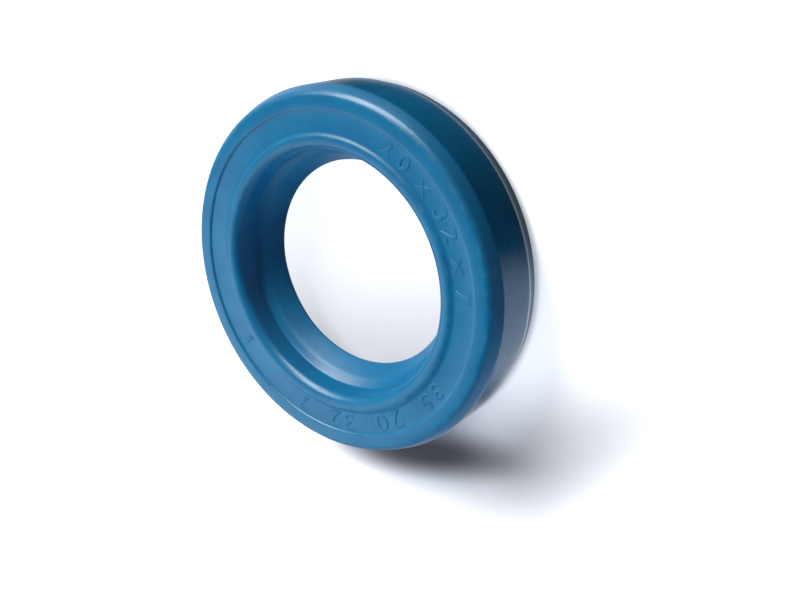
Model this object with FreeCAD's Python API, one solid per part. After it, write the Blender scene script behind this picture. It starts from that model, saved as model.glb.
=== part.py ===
import FreeCAD, Part
import math
import os

# Crankshaft seal: a rubber body moulded on a pressed steel ring, with a coil spring behind its lip.
# Lengths are in millimetres and angles in degrees. Radii run from the shaft's axis, which is Z, and
# heights from the rear (oil side) face, which lies at zero. The marked front (air side) face is on top.

# What the seal fits
housing_bore = 32.0          # diameter of the bore it is pressed into
press_allowance = 0.2        # how much wider the free rubber is than that bore
shaft_diameter = 20.0
lip_squeeze = 1.4            # how much narrower the free lip is than the shaft
width = 7.0

# Outside surface
front_chamfer_length = 1.33
front_chamfer_angle = 22.0   # from the axis
front_edge_round = 0.6
rear_chamfer_length = 1.6
rear_chamfer_angle = 13.0    # from the axis
rear_edge_round = 0.2
rear_inner_bevel = 0.25

# Shares of the depth from the lip's edge out to the outside surface. On the front face:
band_share = 0.187           # flat outer band
rim_share = 0.155            # flat top of the rim round the bore
rim_flank_share = 0.05       # slope from the rim's top to the recess between rim and band

# How far other parts stand back from the lip's edge:
bore_share = 0.23            # bore wall
cone_share = 0.124           # top end of the lip's air side cone
rear_cone_share = 0.16       # rear end of the lip's oil side cone
web_share = 0.272            # back of the flexible web
groove_share = 0.152         # bottom of the spring groove
hole_share = 0.397           # hole in the steel ring
cover_share = 0.118          # rubber outside the steel ring, inwards from the outside surface

# Front face and bore, down from the front face
recess_depth = 0.2
recess_wall_angle = 45.0     # from the axis
rim_round_share = 0.62       # of the rim's width, from its top into the bore
bore_depth = 2.3             # down to the shoulder
bore_draft = 1.0
shoulder_drop = 0.5          # from the bore wall down to the lip's cone

# Lip, in shares of the width above the rear face, and the rubber round the spring
lip_height_share = 0.34      # middle of the lip's land
head_rear_share = 0.17       # rear face of the lip's head
lip_land = 0.2
head_round = 0.3
head_shoulder = 0.12         # rubber in front of the spring groove
web_round = 0.5
coil_diameter = 1.6
coil_hold = 0.76             # share of the coil's diameter that the lip's head reaches round it
coil_offset = 0.25           # how far the coil sits in front of the lip's edge
groove_clearance = 0.02
coil_sides = 8

# Steel ring, and the rubber that covers it
sheet = 0.7
bend_radius = 0.3            # inside of the bend
front_cover = 1.15
rear_cover = 0.7

# Notches in the rear rim, where pins hold the ring in the mould
notch_count = 6
notch_angle = 7.0
notch_reach = 0.45

facet_sag = 0.06             # how far a round's facets may stand off its arc


def tan(degrees):
    return math.tan(math.radians(degrees))


# Radii and heights that follow from the sizes
body_radius = (housing_bore + press_allowance) / 2
lip_radius = (shaft_diameter - lip_squeeze) / 2
depth = body_radius - lip_radius

front_edge_radius = body_radius - front_chamfer_length * tan(front_chamfer_angle)
rear_edge_radius = body_radius - rear_chamfer_length * tan(rear_chamfer_angle)
recess_floor = width - recess_depth
step_radius = front_edge_radius - depth * band_share
step_foot_radius = step_radius - recess_depth * tan(recess_wall_angle)

shoulder_height = width - bore_depth
bore_radius = lip_radius + depth * bore_share
bore_mouth_radius = bore_radius + bore_depth * tan(bore_draft)
rim_width = depth * rim_share
rim_radius = bore_mouth_radius + rim_width
rim_round = rim_width * rim_round_share
rim_foot_radius = rim_radius + depth * rim_flank_share

lip_height = width * lip_height_share
land_top = lip_height + lip_land / 2
land_bottom = lip_height - lip_land / 2
cone_radius = lip_radius + depth * cone_share
cone_top = shoulder_height - shoulder_drop
head_rear_radius = lip_radius + depth * rear_cone_share
head_rear_height = width * head_rear_share
web_radius = lip_radius + depth * web_share

coil_radius = coil_diameter / 2
groove_radius = coil_radius + groove_clearance
groove_bottom_radius = lip_radius + depth * groove_share
head_radius = groove_bottom_radius + coil_diameter * coil_hold
coil_height = lip_height + coil_offset
head_top = coil_height + groove_radius + head_shoulder
web_foot = head_top + head_radius - web_radius

ring_outer_radius = body_radius - depth * cover_share
ring_inner_radius = ring_outer_radius - sheet
ring_hole_radius = lip_radius + depth * hole_share
ring_top = width - front_cover
flange_underside = ring_top - sheet


def at(radius, height):
    return FreeCAD.Vector(radius, 0, height)


def rounded(previous, corner, following, rounding):
    """Points of a corner, spaced evenly on the arc that is tangent to both of its sides."""
    if rounding == 0:
        return [corner]
    towards = (previous - corner).normalize()
    onwards = (following - corner).normalize()
    opening = towards.getAngle(onwards)
    inwards = (towards + onwards).normalize()
    centre = corner + inwards * (rounding / math.sin(opening / 2))
    turn = math.pi - opening
    facets = math.ceil(turn / (2 * math.acos(1 - facet_sag / rounding)))
    across = (onwards - towards).normalize()
    points = []
    for index in range(facets + 1):
        angle = turn * (index / facets - 1 / 2)
        forward = across * (rounding * math.sin(angle))
        points.append(centre - inwards * (rounding * math.cos(angle)) + forward)
    return points


def turned(corners):
    """Solid of revolution of a closed section, given as (radius, height, rounding) corners."""
    sharp = [at(radius, height) for radius, height, _ in corners]
    points = []
    for index, (_, _, rounding) in enumerate(corners):
        following = sharp[(index + 1) % len(sharp)]
        points += rounded(sharp[index - 1], sharp[index], following, rounding)
    section = Part.Face(Part.makePolygon(points + points[:1]))
    return section.revolve(FreeCAD.Vector(0, 0, 0), FreeCAD.Vector(0, 0, 1), 360)


def steel_ring():
    """Pressed ring with an L section: a sleeve inside the outer surface and a flange behind the face."""
    return turned([
        (ring_hole_radius, flange_underside, 0),
        (ring_hole_radius, ring_top, 0),
        (ring_outer_radius, ring_top, bend_radius + sheet),
        (ring_outer_radius, rear_cover, 0),
        (ring_inner_radius, rear_cover, 0),
        (ring_inner_radius, flange_underside, bend_radius),
    ])


def coil_ring(radius):
    """Ring with a many-sided section at the coil's height, resting on the bottom of the groove."""
    half_side = math.pi / coil_sides
    reach = radius / math.cos(half_side)
    corners = []
    for index in range(coil_sides):
        angle = half_side * (2 * index + 1)
        ring_radius = groove_bottom_radius + radius + reach * math.cos(angle)
        corners.append((ring_radius, coil_height + reach * math.sin(angle), 0))
    return turned(corners)


def rubber_blank():
    """Moulded body as turned, before the spring groove and the notches."""
    outside = [
        (rear_edge_radius, 0, rear_edge_round),
        (body_radius, rear_chamfer_length, 0),
        (body_radius, width - front_chamfer_length, 0),
        (front_edge_radius, width, front_edge_round),
    ]
    face = [
        (step_radius, width, 0),
        (step_foot_radius, recess_floor, 0),
        (rim_foot_radius, recess_floor, 0),
        (rim_radius, width, 0),
        (bore_mouth_radius, width, rim_round),
    ]
    bore = [
        (bore_radius, shoulder_height, 0),
        (cone_radius, cone_top, 0),
        (lip_radius, land_top, 0),
        (lip_radius, land_bottom, 0),
    ]
    head = [
        (head_rear_radius, head_rear_height, 0),
        (head_radius, head_rear_height, head_round),
        (head_radius, head_top, 0),
        (web_radius, web_foot, 0),
        (web_radius, flange_underside, web_round),
    ]
    bond = [
        (ring_hole_radius, flange_underside, 0),
        (ring_hole_radius, ring_top, 0),
        (ring_outer_radius, ring_top, bend_radius + sheet),
        (ring_outer_radius, rear_cover, 0),
        (ring_inner_radius, rear_cover, 0),
    ]
    rim = [
        (ring_inner_radius, rear_inner_bevel, 0),
        (ring_inner_radius + rear_inner_bevel, 0, 0),
    ]
    return turned(outside + face + bore + head + bond + rim)


def notch():
    """Sector cut out of the rear rim's inner edge, as deep as the ring's end."""
    inner = ring_inner_radius - notch_reach
    outer = ring_inner_radius + notch_reach
    corners = [at(inner, 0), at(outer, 0), at(outer, rear_cover), at(inner, rear_cover)]
    section = Part.Face(Part.makePolygon(corners + corners[:1]))
    sector = section.revolve(FreeCAD.Vector(0, 0, 0), FreeCAD.Vector(0, 0, 1), notch_angle)
    sector.rotate(FreeCAD.Vector(0, 0, 0), FreeCAD.Vector(0, 0, 1), -notch_angle / 2)
    return sector


def rubber_body():
    """The blank with its spring groove and notches."""
    body = rubber_blank().cut(coil_ring(groove_radius))
    for index in range(notch_count):
        cutter = notch()
        cutter.rotate(FreeCAD.Vector(0, 0, 0), FreeCAD.Vector(0, 0, 1), 360 / notch_count * index)
        body = body.cut(cutter)
    return body


def main():
    os.makedirs("parts", exist_ok=True)
    pieces = {
        "seal_body": rubber_body(),
        "case_ring": steel_ring(),
        "garter_spring": coil_ring(coil_radius),
    }
    for node, shape in pieces.items():
        print(node, "valid", shape.isValid(), "solids", len(shape.Solids), "volume", round(shape.Volume, 2))
        shape.exportStep(f"parts/{node}.step")


main()
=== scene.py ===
import math
import bmesh
import bpy
from mathutils import Matrix, Vector


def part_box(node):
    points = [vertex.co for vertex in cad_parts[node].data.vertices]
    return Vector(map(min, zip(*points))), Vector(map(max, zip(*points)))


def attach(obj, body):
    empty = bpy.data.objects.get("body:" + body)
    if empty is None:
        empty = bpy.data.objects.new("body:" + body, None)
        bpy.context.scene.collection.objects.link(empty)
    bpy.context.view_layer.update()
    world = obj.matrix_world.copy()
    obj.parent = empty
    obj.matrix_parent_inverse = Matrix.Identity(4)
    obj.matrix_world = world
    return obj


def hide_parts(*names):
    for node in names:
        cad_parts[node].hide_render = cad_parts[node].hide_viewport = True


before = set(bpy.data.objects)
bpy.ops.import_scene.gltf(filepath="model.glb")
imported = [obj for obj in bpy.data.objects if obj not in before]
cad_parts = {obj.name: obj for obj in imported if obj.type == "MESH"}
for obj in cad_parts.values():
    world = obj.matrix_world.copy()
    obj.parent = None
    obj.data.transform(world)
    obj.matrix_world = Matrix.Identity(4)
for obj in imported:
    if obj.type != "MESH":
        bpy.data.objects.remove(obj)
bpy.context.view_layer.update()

mm = 0.001                      # sizes below are in millimetres, the scene is in metres
fullTurn = 2 * math.pi
roundSteps = 256                # facets round the seal
mergeDistance = 0.0005
print("frame loaded")


def cosine(angle):
    return math.cos(math.radians(angle))


def sine(angle):
    return math.sin(math.radians(angle))


# Mesh helpers

def keepMesh(bm, name, smooth=True):
    bmesh.ops.remove_doubles(bm, verts=bm.verts, dist=mergeDistance)
    bmesh.ops.recalc_face_normals(bm, faces=bm.faces)
    bmesh.ops.scale(bm, vec=(mm, mm, mm), verts=bm.verts)
    mesh = bpy.data.meshes.new(name)
    bm.to_mesh(mesh)
    bm.free()
    mesh.polygons.foreach_set("use_smooth", [smooth] * len(mesh.polygons))
    piece = bpy.data.objects.new(name, mesh)
    bpy.context.scene.collection.objects.link(piece)
    return piece


def evenNormals(piece, sharpAngle=35):
    piece.data.set_sharp_from_angle(angle=math.radians(sharpAngle))
    weighted = piece.modifiers.new("evenNormals", "WEIGHTED_NORMAL")
    weighted.keep_sharp = True
    weighted.weight = 90


def joinUp(bm, verts, closed=False):
    following = verts[1:] + (verts[:1] if closed else [])
    for first, second in zip(verts, following):
        bm.edges.new((first, second))


def roundCorners(bm, corners, segments):
    # corners pairs a vertex of the section with the radius of its round
    for vert, rounding in corners:
        offset = rounding * math.tan(vert.calc_edge_angle() / 2)
        bmesh.ops.bevel(bm, geom=[vert], offset=offset, offset_type="OFFSET", affect="VERTICES",
                        segments=segments, profile=0.5, material=-1, clamp_overlap=False)


def spinSection(bm, steps=roundSteps, angle=fullTurn):
    full = angle == fullTurn
    bmesh.ops.spin(bm, geom=bm.verts[:] + bm.edges[:], cent=(0, 0, 0), axis=(0, 0, 1), angle=angle,
                   steps=steps, use_merge=full, use_duplicate=False)


def sectionVerts(bm, corners):
    return [bm.verts.new((radius, 0, height)) for radius, height, rounding in corners]


def roundsOf(verts, corners):
    return [(vert, corner[2]) for vert, corner in zip(verts, corners) if corner[2] > 0]


# Shader helpers

class Wire:
    def __init__(self, tree, socket=None):
        self.tree = tree
        self.socket = socket

    def node(self, kind, settings=None, inputs=None, output=0):
        made = self.tree.nodes.new(kind)
        for name, value in (settings or {}).items():
            setattr(made, name, value)
        for name, value in (inputs or {}).items():
            if isinstance(value, Wire):
                self.tree.links.new(value.socket, made.inputs[name])
            else:
                made.inputs[name].default_value = value
        return Wire(self.tree, made.outputs[output] if made.outputs else None)

    def sum(self, operation, first, second=0.0):
        return self.node("ShaderNodeMath", {"operation": operation}, {0: first, 1: second})

    def __add__(self, other):
        return self.sum("ADD", self, other)

    def __radd__(self, other):
        return self.sum("ADD", other, self)

    def __sub__(self, other):
        return self.sum("SUBTRACT", self, other)

    def __rsub__(self, other):
        return self.sum("SUBTRACT", other, self)

    def __mul__(self, other):
        return self.sum("MULTIPLY", self, other)

    def __rmul__(self, other):
        return self.sum("MULTIPLY", other, self)

    def __truediv__(self, other):
        return self.sum("DIVIDE", self, other)

    def __rtruediv__(self, other):
        return self.sum("DIVIDE", other, self)

    def __pow__(self, other):
        return self.sum("POWER", self, other)

    def __abs__(self):
        return self.sum("ABSOLUTE", self)

    def atLeast(self, low):
        return self.sum("MAXIMUM", self, low)

    def atMost(self, high):
        return self.sum("MINIMUM", self, high)

    def between(self, low, high):
        # 0 below low, 1 above high and a smooth rise from one to the other
        return self.node("ShaderNodeMapRange", {"interpolation_type": "SMOOTHSTEP"},
                         {"Value": self, "From Min": low, "From Max": high})

    def near(self, centre, reach):
        # 1 at the centre, fading to 0 at reach from it
        return (1 - abs(self - centre) / reach).atLeast(0)

    def blend(self, first, second):
        # the wire is the share of the second colour
        return self.node("ShaderNodeMix", {"data_type": "RGBA"}, {0: self, 6: first, 7: second}, 2)

    def noise(self, size, detail=3, roughness=0.5):
        # cloudy pattern whose patches are about size millimetres across
        return self.node("ShaderNodeTexNoise", {}, {"Vector": self, "Scale": 1 / (size * mm),
                                                    "Detail": detail, "Roughness": roughness})

    def axes(self):
        split = [self.node("ShaderNodeSeparateXYZ", {}, {"Vector": self}, axis) for axis in "XYZ"]
        return [part / mm for part in split]


def newMaterial(name):
    material = bpy.data.materials.new(name)
    material.use_nodes = True
    material.node_tree.nodes.clear()
    return material, Wire(material.node_tree)


def finishMaterial(start, shader):
    start.node("ShaderNodeOutputMaterial", {}, {"Surface": shader})


def linear(red, green, blue):
    # colour as it shows on a screen, 0 to 255, to the values that a shader takes
    shares = [value / 255 for value in (red, green, blue)]
    return [share / 12.92 if share < 0.04 else ((share + 0.055) / 1.055) ** 2.4 for share in shares] + [1]


# Rubber

# A pattern is the size of its patches and its detail, and a range is where it fades in, from 0 to 1
rubberLook = {
    "colour": linear(9, 107, 155),
    "deep": linear(6, 100, 148),
    "clouds": (2.6, 4),           # pattern in colour and roughness
    "cloudRange": (0.3, 0.7),
    "cloudRoughness": 0.08,
    # pale colour of worn edges with a painted highlight on them; the dust specks take it too
    "wearAndHighlight": linear(95, 160, 188),
    "wearAndHighlightEdges": [(15.35, 0.3), (14.27, 0.08), (12.0, 0.2)],      # radius and half width
    "wearAndHighlightDepths": (0.3, 0.05),    # below the face: the wear and its painted highlight start, and are full
    "wearAndHighlightPatches": (0.9, 3),      # pattern
    "wearAndHighlightRange": (0.35, 0.7),
    "wearAndHighlightShare": 0.2,
    "specks": (0.22, 1),          # pattern
    "speckRange": (0.76, 0.8),
    "speckShare": 0.35,
    "roughness": 0.3,
    "sleeveRoughness": 0.24,
    "sleeveRim": (0.12, 0.02),    # how far inside the sleeve its smooth skin starts and is full
    "lipRadii": (10.1, 10.5),     # where the rougher lip ends
    "lipRoughness": 0.12,         # how much rougher the lip is
    "specular": 0.29,
    "coatRoughness": 0.2,         # of the smooth skin on the sleeve
    "grain": (0.16, 2),           # pattern
    "grainDepth": 0.012,
    "grainStrength": 0.35,
    "cloudHeight": 0.6,           # share of the grain's height
}


def rubberMaterial(name, sleeveRadius, faceHeight, rougher=0):
    look = rubberLook
    material, start = newMaterial(name)
    place = start.node("ShaderNodeTexCoord", output="Object")
    x, y, height = place.axes()
    radius = (x * x + y * y) ** 0.5
    clouds = place.noise(*look["clouds"])
    grain = place.noise(*look["grain"])
    specks = place.noise(*look["specks"]).between(*look["speckRange"])
    patches = place.noise(*look["wearAndHighlightPatches"]).between(*look["wearAndHighlightRange"])
    # the face's edges are lighter: partly wear, partly a painted highlight that stands in for the light the
    # rounded edges catch
    outer, middle, inner = [radius.near(*edge) for edge in look["wearAndHighlightEdges"]]
    wearAndHighlight = (outer + middle + inner) * height.between(*[faceHeight - down for down in look["wearAndHighlightDepths"]])
    wearAndHighlight = wearAndHighlight * patches
    sleeve = radius.between(*[sleeveRadius - inset for inset in look["sleeveRim"]])
    base = clouds.between(*look["cloudRange"]).blend(look["colour"], look["deep"])
    dusty = (specks * (1 - sleeve) * look["speckShare"]).blend(base, look["wearAndHighlight"])
    colour = (wearAndHighlight * look["wearAndHighlightShare"]).blend(dusty, look["wearAndHighlight"])
    lip = (1 - radius.between(*look["lipRadii"])) * look["lipRoughness"]
    roughness = look["roughness"] + rougher + clouds * look["cloudRoughness"] + lip
    roughness = roughness - sleeve * (look["roughness"] - look["sleeveRoughness"])
    bump = start.node("ShaderNodeBump", {}, {
        "Strength": look["grainStrength"], "Distance": look["grainDepth"] * mm,
        "Height": grain + clouds * look["cloudHeight"]})
    shader = start.node("ShaderNodeBsdfPrincipled", {}, {
        "Base Color": colour, "Roughness": roughness, "Normal": bump, "Coat Weight": sleeve,
        "Specular IOR Level": look["specular"], "Coat Roughness": look["coatRoughness"]})
    finishMaterial(start, shader)
    return material


# Rubber body: one section, turned

rubber = {
    "rearEdge": (15.73, 0.2),             # radius, round
    "rearChamfer": 1.6,                   # height where the sleeve starts
    "frontChamfer": 1.33,                 # down from the front face
    "sleeveStart": 0.5,                   # round
    "sleeveEnd": 0.5,                     # round
    "faceEdge": (15.563, 0.6),
    "step": (14.291, 0.2),
    "stepFoot": (14.131, 0.04, 0.2),      # radius, height over the recess floor, round
    "scoopEnd": 13.38,
    "recess": 0.2,
    "rimFoot": (12.294, 0.6),
    "rim": (11.954, 0.5),
    "mouth": (10.9, 0.75),
    "bore": (10.864, 4.7, 0.25),          # radius, height, round
    "coneTop": (10.143, 4.2, 1.0),
    "land": (9.3, 2.28, 2.48, 0.02),      # radius, bottom, top, round
    "headRear": (10.388, 1.19, 0.12),
    "headRound": 0.3,
    "headBack": 11.55,
    "headTop": (3.57, 0.08),
    "web": (11.15, 0.5),
    "grooveBottom": 10.334,
    "grooveClearance": 0.02,
    "grooveSteps": 22,
    "rearBevel": (0.25, 0.03),            # width, round
    "segments": 5,
}
steel = {
    "sheet": 0.7,
    "bend": 0.3,
    "hole": 12.0,
    "edgeRound": 0.05,
    "segments": 5,
    "dark": linear(118, 116, 112),
    "light": linear(150, 147, 140),
    "patches": (1.4, 5),                  # pattern in colour and roughness
    "patchRange": (0.3, 0.7),
    "roughness": 0.42,
    "patchRoughness": 0.2,
    "grain": (0.08, 2),                   # pattern
    "grainDepth": 0.006,
    "grainStrength": 0.5,
}
notch = {"count": 6, "angle": 7, "reach": 0.45, "below": 0.2, "steps": 6}

sealHigh = Vector(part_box("seal_body")[1]) / mm
ringLow, ringHigh = [Vector(corner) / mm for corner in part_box("case_ring")]
coilLow, coilHigh = [Vector(corner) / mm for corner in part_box("garter_spring")]
width = sealHigh.z
sleeveRadius = sealHigh.x
coilRadius = (coilHigh.z - coilLow.z) / 2
coilHeight = (coilHigh.z + coilLow.z) / 2
coilRingRadius = rubber["grooveBottom"] + coilRadius
recessFloor = width - rubber["recess"]
ringInner = ringHigh.x - steel["sheet"]
underFlange = ringHigh.z - steel["sheet"]


def grooveArc(bm, size):
    # the groove's wall, from its rear lip round to its front lip
    radius = coilRadius + size["grooveClearance"]
    centre = coilRingRadius + size["grooveClearance"]
    half = math.acos((size["headBack"] - centre) / radius)
    start = bm.verts.new((size["headBack"], 0, coilHeight - radius * math.sin(half)))
    bmesh.ops.spin(bm, geom=[start], cent=(centre, 0, coilHeight), axis=(0, 1, 0),
                   angle=fullTurn - 2 * half, steps=size["grooveSteps"])
    bm.verts.index_update()
    return [vert for vert in bm.verts if vert.index >= start.index]


def rubberBody():
    size = rubber
    land, headRear, headTop, web = size["land"], size["headRear"], size["headTop"], size["web"]
    bevelWidth, bevelRound = size["rearBevel"]
    before = [
        (size["rearEdge"][0], 0, size["rearEdge"][1]),
        (sleeveRadius, size["rearChamfer"], size["sleeveStart"]),
        (sleeveRadius, width - size["frontChamfer"], size["sleeveEnd"]),
        (size["faceEdge"][0], width, size["faceEdge"][1]),
        (size["step"][0], width, size["step"][1]),
        (size["stepFoot"][0], recessFloor + size["stepFoot"][1], size["stepFoot"][2]),
        (size["scoopEnd"], recessFloor, 0),
        (size["rimFoot"][0], recessFloor, size["rimFoot"][1]),
        (size["rim"][0], width, size["rim"][1]),
        (size["mouth"][0], width, size["mouth"][1]),
        size["bore"],
        size["coneTop"],
        (land[0], land[2], land[3]),
        (land[0], land[1], land[3]),
        headRear,
        (size["headBack"], headRear[1], size["headRound"]),
    ]
    after = [
        (size["headBack"], headTop[0], headTop[1]),
        (web[0], headTop[0] + size["headBack"] - web[0], headTop[1]),
        (web[0], underFlange, web[1]),
        (steel["hole"], underFlange, 0),
        (steel["hole"], ringHigh.z, 0),
        (ringHigh.x, ringHigh.z, steel["bend"] + steel["sheet"]),
        (ringHigh.x, ringLow.z, 0),
        (ringInner, ringLow.z, 0),
        (ringInner, bevelWidth, bevelRound),
        (ringInner + bevelWidth, 0, bevelRound),
    ]
    bm = bmesh.new()
    first = sectionVerts(bm, before)
    groove = grooveArc(bm, size)
    last = sectionVerts(bm, after)
    bm.edges.new((first[-1], groove[0]))
    bm.edges.new((groove[-1], last[0]))
    bm.edges.new((last[-1], first[0]))
    joinUp(bm, first)
    joinUp(bm, last)
    roundCorners(bm, roundsOf(first, before) + roundsOf(last, after), size["segments"])
    spinSection(bm)
    return keepMesh(bm, "rubberBody")


def notchCutter():
    bm = bmesh.new()
    half = math.radians(notch["angle"] / 2)
    inner, outer = ringInner - notch["reach"], ringInner + notch["reach"]
    low, high = -notch["below"], ringLow.z
    corners = [(inner, low, 0), (outer, low, 0), (outer, high, 0), (inner, high, 0)]
    for index in range(notch["count"]):
        part = bmesh.new()
        verts = sectionVerts(part, corners)
        joinUp(part, verts, closed=True)
        bmesh.ops.contextual_create(part, geom=part.edges[:])
        bmesh.ops.spin(part, geom=part.faces[:], cent=(0, 0, 0), axis=(0, 0, 1), angle=2 * half,
                       steps=notch["steps"])
        start = index * fullTurn / notch["count"] - half
        bmesh.ops.rotate(part, cent=(0, 0, 0), matrix=Matrix.Rotation(start, 3, "Z"), verts=part.verts)
        mesh = bpy.data.meshes.new("notch")
        part.to_mesh(mesh)
        part.free()
        bm.from_mesh(mesh)
        bpy.data.meshes.remove(mesh)
    return keepMesh(bm, "notchCutter", smooth=False)


def cutNotches(piece):
    cutter = notchCutter()
    boolean = piece.modifiers.new("notches", "BOOLEAN")
    boolean.operation = "DIFFERENCE"
    boolean.solver = "EXACT"
    boolean.object = cutter
    cut = bpy.data.meshes.new_from_object(piece.evaluated_get(bpy.context.evaluated_depsgraph_get()))
    piece.modifiers.remove(boolean)
    piece.data = cut
    bpy.data.objects.remove(cutter)


body = rubberBody()
cutNotches(body)
evenNormals(body)
blueRubber = rubberMaterial("blueRubber", sleeveRadius, width)
body.data.materials.clear()
body.data.materials.append(blueRubber)
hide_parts("seal_body")
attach(body, "root")
print("rubber body", len(body.data.polygons), "faces")


# Steel ring

def steelMaterial():
    material, start = newMaterial("phosphatedSteel")
    place = start.node("ShaderNodeTexCoord", output="Object")
    patches = place.noise(*steel["patches"])
    grain = place.noise(*steel["grain"])
    colour = patches.between(*steel["patchRange"]).blend(steel["dark"], steel["light"])
    roughness = steel["roughness"] + patches * steel["patchRoughness"]
    bump = start.node("ShaderNodeBump", {}, {
        "Strength": steel["grainStrength"], "Distance": steel["grainDepth"] * mm, "Height": grain})
    shader = start.node("ShaderNodeBsdfPrincipled", {}, {
        "Base Color": colour, "Roughness": roughness, "Metallic": 1.0, "Normal": bump})
    finishMaterial(start, shader)
    return material


def steelRing():
    edgeRound = steel["edgeRound"]
    corners = [
        (steel["hole"], underFlange, edgeRound),
        (steel["hole"], ringHigh.z, edgeRound),
        (ringHigh.x, ringHigh.z, steel["bend"] + steel["sheet"]),
        (ringHigh.x, ringLow.z, edgeRound),
        (ringInner, ringLow.z, edgeRound),
        (ringInner, underFlange, steel["bend"]),
    ]
    bm = bmesh.new()
    verts = sectionVerts(bm, corners)
    joinUp(bm, verts, closed=True)
    roundCorners(bm, roundsOf(verts, corners), steel["segments"])
    spinSection(bm)
    return keepMesh(bm, "steelRing")


ring = steelRing()
evenNormals(ring)
ring.data.materials.append(steelMaterial())
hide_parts("case_ring")
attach(ring, "root")
print("steel ring", len(ring.data.polygons), "faces")


# Garter spring: a close wound coil whose ends are screwed into each other

spring = {
    "wire": 0.33,                 # diameter
    "pointsPerTurn": 12,
    "nibTurns": 3,                # turns of the thin end that is screwed into the other one
    "nibRadius": 0.3,
    "sides": 3,
    "bright": linear(196, 194, 188),
    "stained": linear(150, 143, 130),
    "stains": (1.1, 4),           # pattern in colour and roughness
    "stainRange": (0.35, 0.75),
    "roughness": 0.26,
    "stainRoughness": 0.14,
    "grain": (0.05, 1),           # pattern
    "grainDepth": 0.004,
    "grainStrength": 0.3,
}


def wireMaterial():
    material, start = newMaterial("springWire")
    place = start.node("ShaderNodeTexCoord", output="Object")
    stains = place.noise(*spring["stains"])
    grain = place.noise(*spring["grain"])
    colour = stains.between(*spring["stainRange"]).blend(spring["bright"], spring["stained"])
    roughness = spring["roughness"] + stains * spring["stainRoughness"]
    bump = start.node("ShaderNodeBump", {}, {
        "Strength": spring["grainStrength"], "Distance": spring["grainDepth"] * mm, "Height": grain})
    shader = start.node("ShaderNodeBsdfPrincipled", {}, {
        "Base Color": colour, "Roughness": roughness, "Metallic": 1.0, "Normal": bump})
    finishMaterial(start, shader)
    return material


def garterSpring():
    size = spring
    turnRadius = coilRadius - size["wire"] / 2
    turns = int(fullTurn * (coilRingRadius - turnRadius) / size["wire"])
    nib = size["nibTurns"]
    curve = bpy.data.curves.new("coil", "CURVE")
    curve.dimensions = "3D"
    curve.bevel_depth = size["wire"] / 2
    curve.bevel_resolution = size["sides"]
    curve.use_fill_caps = True
    spline = curve.splines.new("POLY")
    count = (turns + nib) * size["pointsPerTurn"]
    spline.points.add(count - 1)
    for index, point in enumerate(spline.points):
        turned = index / size["pointsPerTurn"]
        taper = min(1, turned / nib)
        reach = size["nibRadius"] + (turnRadius - size["nibRadius"]) * taper ** 0.5
        around = fullTurn * turned / turns
        across = fullTurn * turned
        ringRadius = coilRingRadius + reach * math.cos(across)
        point.co = (ringRadius * math.cos(around), ringRadius * math.sin(around),
                    coilHeight + reach * math.sin(across), 1)
    made = bpy.data.objects.new("coil", curve)
    bpy.context.scene.collection.objects.link(made)
    bm = bmesh.new()
    bm.from_mesh(bpy.data.meshes.new_from_object(made.evaluated_get(bpy.context.evaluated_depsgraph_get())))
    bpy.data.objects.remove(made)
    return keepMesh(bm, "garterCoil")


coil = garterSpring()
coil.data.materials.append(wireMaterial())
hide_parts("garter_spring")
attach(coil, "root")
print("garter spring", len(coil.data.polygons), "faces")


# Raised numbers in the recess, and the small marks that the mould leaves

marks = {
    "centreRadius": 13.26,
    "raised": 0.05,
    "sunk": 0.025,
    "edge": 0.11,                 # width of the letters' rounded edges
    "rougher": 0.12,              # than the rubber round them
    "bold": -0.04,                # how far the strokes are widened on each side before they are rounded
    "inkShare": 0.737,            # height of a number as a share of the text size
    "space": 0.6,                 # share of the gap that a space adds
    "words": [                    # text, angle of its middle, height, widening, gap between letters
        ("7", 243.7, 1.66, 1.2, 0),
        ("32", 263.4, 1.66, 1.25, 0.3),
        ("20", 286.9, 1.66, 1.25, 0.35),
        ("35", 310.9, 1.4, 1.25, 0.45),
        ("1", 208.6, 1.5, 1.3, 0),
        ("20 x 32 x 7", 23.0, 1.4, 1.2, 0.72),
    ],
}


def letterMesh(letter, size):
    curve = bpy.data.curves.new("letter", "FONT")
    curve.body = letter
    curve.size = size
    curve.offset = marks["bold"]
    curve.bevel_depth = marks["edge"]
    curve.bevel_resolution = 3
    curve.resolution_u = 6
    made = bpy.data.objects.new("letter", curve)
    bpy.context.scene.collection.objects.link(made)
    mesh = bpy.data.meshes.new_from_object(made.evaluated_get(bpy.context.evaluated_depsgraph_get()))
    bpy.data.objects.remove(made)
    return mesh


def inkWidth(mesh):
    across = [vert.co.x for vert in mesh.vertices]
    return min(across), max(across)


def addWord(bm, word, angle, height, widening, gap):
    # the letters stand side by side along the recess, with their tops outwards
    middle = recessFloor - marks["sunk"]
    flatness = (marks["raised"] + marks["sunk"]) / marks["edge"]
    placed = []
    along = 0
    for letter in word:
        if letter == " ":
            along += gap * marks["space"]
            continue
        mesh = letterMesh(letter, height / marks["inkShare"])
        left, right = inkWidth(mesh)
        placed.append((mesh, (left + right) / 2, along + (right - left) * widening / 2))
        along += (right - left) * widening + gap
    total = along - gap
    for mesh, centre, across in placed:
        turned = math.radians(angle) - (across - total / 2) / marks["centreRadius"]
        place = (Matrix.Rotation(turned - math.pi / 2, 4, "Z")
                 @ Matrix.Translation((0, marks["centreRadius"] - height / 2, middle))
                 @ Matrix.Diagonal((widening, 1, flatness, 1))
                 @ Matrix.Translation((-centre, 0, 0)))
        mesh.transform(place)
        bm.from_mesh(mesh)
        bpy.data.meshes.remove(mesh)


def sizeMarks():
    bm = bmesh.new()
    for word, angle, height, widening, gap in marks["words"]:
        addWord(bm, word, angle, height, widening, gap)
    return keepMesh(bm, "sizeMarks")


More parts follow.
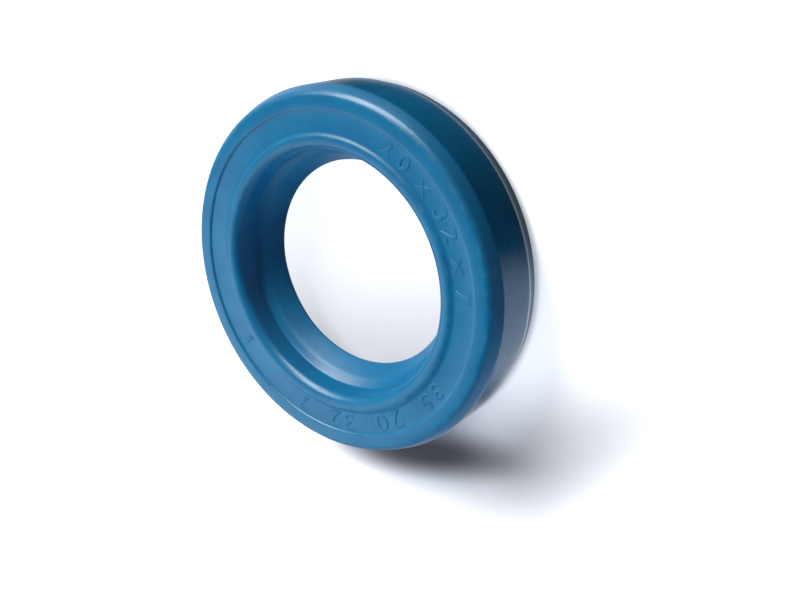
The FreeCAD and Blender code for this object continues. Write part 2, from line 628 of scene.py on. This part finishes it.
numbers = sizeMarks()
evenNormals(numbers, 50)
numbers.data.materials.append(rubberMaterial("matRubber", sleeveRadius, width, marks["rougher"]))
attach(numbers, "root")
print("size marks", len(numbers.data.polygons), "faces")

nibs = {
    "spots": [                    # angle, radius, height, length outwards, width, thickness
        (206.6, 15.34, 6.95, 0.4, 0.07, 0.04),
        (202.7, 14.3, 6.96, 0.5, 0.05, 0.03),
        (196.3, 13.6, 6.8, 0.3, 0.16, 0.04),
        (83.0, 15.3, 6.96, 0.12, 0.08, 0.03),
        (51.0, 15.34, 6.96, 0.16, 0.1, 0.03),
        (4.0, 15.35, 6.94, 0.09, 0.12, 0.04),
        (340.0, 15.3, 6.95, 0.12, 0.08, 0.04),
        (317.5, 15.34, 6.96, 0.14, 0.12, 0.03),
        (281.0, 15.34, 6.96, 0.12, 0.1, 0.03),
        (226.0, 15.34, 6.96, 0.08, 0.14, 0.03),
        (97.5, 11.46, 6.965, 0.16, 0.06, 0.03),
        (84.4, 11.44, 6.965, 0.12, 0.05, 0.03),
        (67.0, 11.23, 6.87, 0.16, 0.06, 0.03),
    ],
}


def mouldNibs():
    bm = bmesh.new()
    for angle, radius, height, length, across, thickness in nibs["spots"]:
        place = (Matrix.Rotation(math.radians(angle), 4, "Z")
                 @ Matrix.Translation((radius, 0, height))
                 @ Matrix.Diagonal((length / 2, across / 2, thickness, 1)))
        bmesh.ops.create_icosphere(bm, subdivisions=3, radius=1, matrix=place)
    return keepMesh(bm, "mouldNibs")


flash = mouldNibs()
flash.data.materials.append(blueRubber)
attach(flash, "root")
print("mould nibs", len(flash.data.polygons), "faces")


# Floor, world and lamps

# A spot is an oval: its middle, direction, half sizes and the share that is core. A sector is a direction,
# with the angles to each side of it where it starts to fade and ends. A pair is the radii between which
# something ends, if nothing else is said.
floor = {
    "reach": 1500,
    "drop": 0.01,                 # below the seal
    "colour": (0.82, 0.83, 0.91, 1),
    "shade": (0.02, 0.01, 0.02, 1),
    "tint": (0.92, 0.95, 1),      # of the glow and of what reflections find

    # what the camera sees: how much the floor glows, with painted light in the hole and beside the seal, and
    # how much of its own colour the painted shadows take away
    "glow": 0.42,
    "hole": (11.5, 13.0),
    "holeGlow": 1.05,             # inside the seal
    "holeFall": (275, -5, 12),    # direction, and how far along it that glow starts to fall and is lowest
    "holeLoss": 0.5,
    "holeDark": 0.75,
    "deep": (2, -18.9, 4, 14.5, 3.2, 0.15),       # spot of deep shadow
    "deepDark": 0.73,
    "wide": (18, -15.8, 29, 20, 8.4, 0.05),       # spot of faint shadow beside it
    "wideDark": 0.47,
    "edge": (262, 15, 42),        # sector of shadow along the near edge
    "edgeReach": (18, 24),
    "edgeDark": 0.48,
    "contact": (15.7, 16.4),      # thin shadow along the seal's foot
    "contactDark": 0.15,
    "behind": (198, 30, 75),      # sector of shadow along the far edge
    "behindReach": (16, 21),
    "behindDark": 0.6,
    "clear": (352, 22, 55),       # sector of extra glow
    "clearGlow": 0.39,
    "horizon": (60, 400),         # the far floor turns white

    # painted light and shade that only bounced light and reflections see: what lights the seal and shows in
    # it
    "dark": (40, 32, 50),         # sector painted darker for bounced light, which puts painted shade on the sleeve
    "darkness": 0.15,
    "close": (21, 24),            # the close pattern of light gives way to the far one
    "farDark": (30, 52, 85),      # dark sector of the far pattern
    "closeDark": (20, 63, 101),   # dark sector of the close pattern
    "closeBright": (336, 7, 30),  # bright sector of the close pattern, and what it adds
    "closeShare": 0.5,
    "foot": (16.3, 0.7),          # radius and half width of a painted bright ring along the seal's foot, a painted highlight on the sleeve
    "footLight": 0.6,
    "inside": (285, 3.5, 7.5),    # direction, and how far from the middle the light starts and is full
    "insideLight": 0.9,
    "dim": (255, 30, 50),         # sector where both patterns are weaker
    "dimShare": 0.5,
}


def along(x, y, direction):
    return x * cosine(direction) + y * sine(direction)


def inSector(place, name):
    # 1 within the first angle either side of the direction, 0 beyond the second one
    x, y, radius = place
    direction, full, end = floor[name]
    return (along(x, y, direction) / radius).between(cosine(end), cosine(full))


def within(place, name):
    # 1 inside the first radius, 0 beyond the second one
    return 1 - place[2].between(*floor[name])


def spot(x, y, middleX, middleY, direction, length, breadth, core):
    # 1 in the middle of an oval, 0 at its edge
    lengthwise = along(x - middleX, y - middleY, direction) / length
    across = along(x - middleX, y - middleY, direction + 90) / breadth
    return 1 - ((lengthwise * lengthwise + across * across) ** 0.5).between(core, 1)


def seenRays(start, kinds):
    rays = [start.node("ShaderNodeLightPath", output=f"Is {kind} Ray") for kind in kinds]
    total = rays[0]
    for ray in rays[1:]:
        total = total + ray
    return total.atMost(1)


def floorForCamera(place, inside):
    # how much the floor glows, with painted light and painted shadows in that glow, and how much of its own
    # colour it keeps under the painted shadows
    x, y, radius = place
    outside = 1 - inside
    shadows = [
        (spot(x, y, *floor["deep"]) * outside, floor["deepDark"]),
        (spot(x, y, *floor["wide"]), floor["wideDark"]),
        (inSector(place, "edge") * within(place, "edgeReach") * outside, floor["edgeDark"]),
        (within(place, "contact") * outside, floor["contactDark"]),
        (inSector(place, "behind") * within(place, "behindReach") * outside, floor["behindDark"]),
    ]
    unshaded = outside
    kept = 1 - inside * floor["holeDark"]
    for shadow, darkness in shadows:
        unshaded = unshaded * (1 - shadow)
        kept = kept * (1 - shadow * darkness)
    direction, fallStart, fallEnd = floor["holeFall"]
    fall = along(x, y, direction).between(fallStart, fallEnd) * floor["holeLoss"]
    clear = inSector(place, "clear") * outside * floor["clearGlow"]
    glow = floor["glow"] * unshaded + inside * (1 - fall) * floor["holeGlow"] + clear
    return glow + radius.between(*floor["horizon"]), kept


def floorForReflections(place, inside):
    # painted light and dark parts that only the rubber's shine shows: painted reflections
    x, y, radius = place
    closeDark = inSector(place, "closeDark")
    foot = radius.near(*floor["foot"]) * floor["footLight"]
    closeLight = 1 - closeDark + closeDark * foot + inSector(place, "closeBright") * floor["closeShare"]
    farLight = 1 - inSector(place, "farDark")
    outsideLight = farLight + within(place, "close") * (closeLight - farLight)
    outsideLight = outsideLight * (1 - inSector(place, "dim") * floor["dimShare"])
    direction, lightStart, lightFull = floor["inside"]
    insideLight = abs(along(x, y, direction)).between(lightStart, lightFull) * floor["insideLight"]
    return outsideLight + inside * (insideLight - outsideLight)


def floorMaterial():
    material, start = newMaterial("paleFloor")
    x, y = start.node("ShaderNodeTexCoord", output="Object").axes()[:2]
    place = (x, y, (x * x + y * y) ** 0.5)
    inside = within(place, "hole")
    glow, kept = floorForCamera(place, inside)
    mirrored = floorForReflections(place, inside)
    glossy = seenRays(start, ["Glossy"])
    camera = seenRays(start, ["Camera", "Transmission"])
    # painted shade: for bounced light the floor is darker in the dark sector, so the sleeve there is lit
    # less
    hidden = inSector(place, "dark") * (1 - inside) * (1 - camera)
    dark = [channel * floor["darkness"] for channel in floor["colour"][:3]] + [1]
    # painted shadows: the camera sees the floor's colour turn towards the shade colour
    shaded = (camera * (1 - kept)).blend(floor["colour"], floor["shade"])
    colour = glossy.blend(hidden.blend(shaded, dark), (0, 0, 0, 1))
    # the glow that the camera sees, and the painted reflections that the rubber's shine sees
    light = start.node("ShaderNodeVectorMath", {"operation": "SCALE"}, {
        "Vector": floor["tint"], "Scale": camera * glow + glossy * mirrored})
    shader = start.node("ShaderNodeBsdfPrincipled", {}, {
        "Base Color": colour, "Roughness": 0.7, "Specular IOR Level": 0.0,
        "Emission Color": light, "Emission Strength": 1.0})
    finishMaterial(start, shader)
    return material


def addFloor():
    bm = bmesh.new()
    bmesh.ops.create_grid(bm, x_segments=1, y_segments=1, size=floor["reach"])
    bmesh.ops.translate(bm, vec=(0, 0, -floor["drop"]), verts=bm.verts)
    ground = keepMesh(bm, "floor", smooth=False)
    ground.data.materials.append(floorMaterial())


def addWorld(light):
    world = bpy.data.worlds.new("studio")
    world.use_nodes = True
    world.node_tree.nodes.clear()
    start = Wire(world.node_tree)
    seen = seenRays(start, ["Camera", "Glossy", "Transmission"])
    sky = start.node("ShaderNodeBackground", {}, {"Color": seen.blend(light, (1, 1, 1, 1))})
    start.node("ShaderNodeOutputWorld", {}, {"Surface": sky})
    bpy.context.scene.world = world


# A grey tent round the lamps glows by itself, and only reflections see it: a painted reflection that keeps
# the satin rubber's colour deep.
# Its foot glows brighter by what horizon says, and that ends between the heights in rise.
tent = {"radius": 900, "brightness": 0.2, "horizon": 0.45, "rise": (20, 400)}


def addTent():
    bm = bmesh.new()
    bmesh.ops.create_uvsphere(bm, u_segments=32, v_segments=16, radius=tent["radius"])
    bmesh.ops.bisect_plane(bm, geom=bm.verts[:] + bm.edges[:] + bm.faces[:], plane_co=(0, 0, 0),
                           plane_no=(0, 0, -1), clear_outer=True)
    cloth = keepMesh(bm, "tent")
    material, start = newMaterial("glowingGreyTent")
    height = start.node("ShaderNodeTexCoord", output="Object").axes()[2]
    horizon = (1 - height.between(*tent["rise"])) * tent["horizon"]
    finishMaterial(start, start.node("ShaderNodeEmission", {}, {"Color": horizon + tent["brightness"]}))
    cloth.data.materials.append(material)
    cloth.visible_camera = False
    cloth.visible_diffuse = False
    cloth.visible_transmission = False
    cloth.visible_shadow = False


def onDome(azimuth, elevation, distance):
    level = distance * cosine(elevation)
    return Vector((level * cosine(azimuth), level * sine(azimuth), distance * sine(elevation)))


lamps = {                         # azimuth, elevation, size, level, colour, distance in metres, kinds of ray
    "key": (110, 38, 0.3, 1.42, (1, 0.99, 0.92), 0.6, ("diffuse", "glossy")),
    "window": (88, 16, 0.22, 2.5, (1, 0.99, 0.9), 0.3, ("glossy",)),
    "low": (250, 20, 0.16, 0.42, (0.9, 0.95, 1), 0.3, ("diffuse",)),
    "fill": (290, 12, 0.16, 0.27, (0.7, 0.85, 1), 0.3, ("diffuse",)),
    "sheen": (206, 37.5, 0.07, 0.37, (1, 0.99, 0.9), 0.08, ("diffuse", "glossy")),
}


def addLamp(name, azimuth, elevation, size, level, colour, distance, kinds):
    # level is the brightness that the lamp alone gives to white paper that faces it, and kinds are the rays
    # that find it
    lamp = bpy.data.lights.new(name, "AREA")
    lamp.shape = "DISK"
    lamp.size = size
    lamp.energy = level * math.pi ** 2 * distance ** 2
    lamp.color = colour
    holder = bpy.data.objects.new(name, lamp)
    holder.location = onDome(azimuth, elevation, distance)
    holder.rotation_euler = (-holder.location).to_track_quat("-Z", "Y").to_euler()
    holder.visible_diffuse = "diffuse" in kinds
    holder.visible_glossy = "glossy" in kinds
    bpy.context.scene.collection.objects.link(holder)


addFloor()
addTent()
addWorld((0.03, 0.045, 0.06, 1))
for name, settings in lamps.items():
    addLamp(name, *settings)
print("floor and lamps")


# Camera, where the photographer's was

view = {
    "place": (50.80, 16.81, 62.36),
    "aim": (5.25, 1.51, 3.5),
    "roll": -113.43,
    "lens": 40.99,
    "shift": -0.0625,
}


def addCamera():
    camera = bpy.data.cameras.new("camera")
    camera.lens = view["lens"]
    camera.sensor_width = 36
    camera.shift_y = view["shift"]
    camera.clip_start = 0.001
    camera.clip_end = 10
    holder = bpy.data.objects.new("camera", camera)
    place = Vector(view["place"]) * mm
    aim = Vector(view["aim"]) * mm
    look = (aim - place).to_track_quat("-Z", "Y").to_matrix()
    turn = look @ Matrix.Rotation(math.radians(view["roll"]), 3, "Z")
    holder.location = place
    holder.rotation_euler = turn.to_euler()
    bpy.context.scene.collection.objects.link(holder)
    bpy.context.scene.camera = holder


addCamera()
bpy.context.scene.view_settings.view_transform = "Standard"
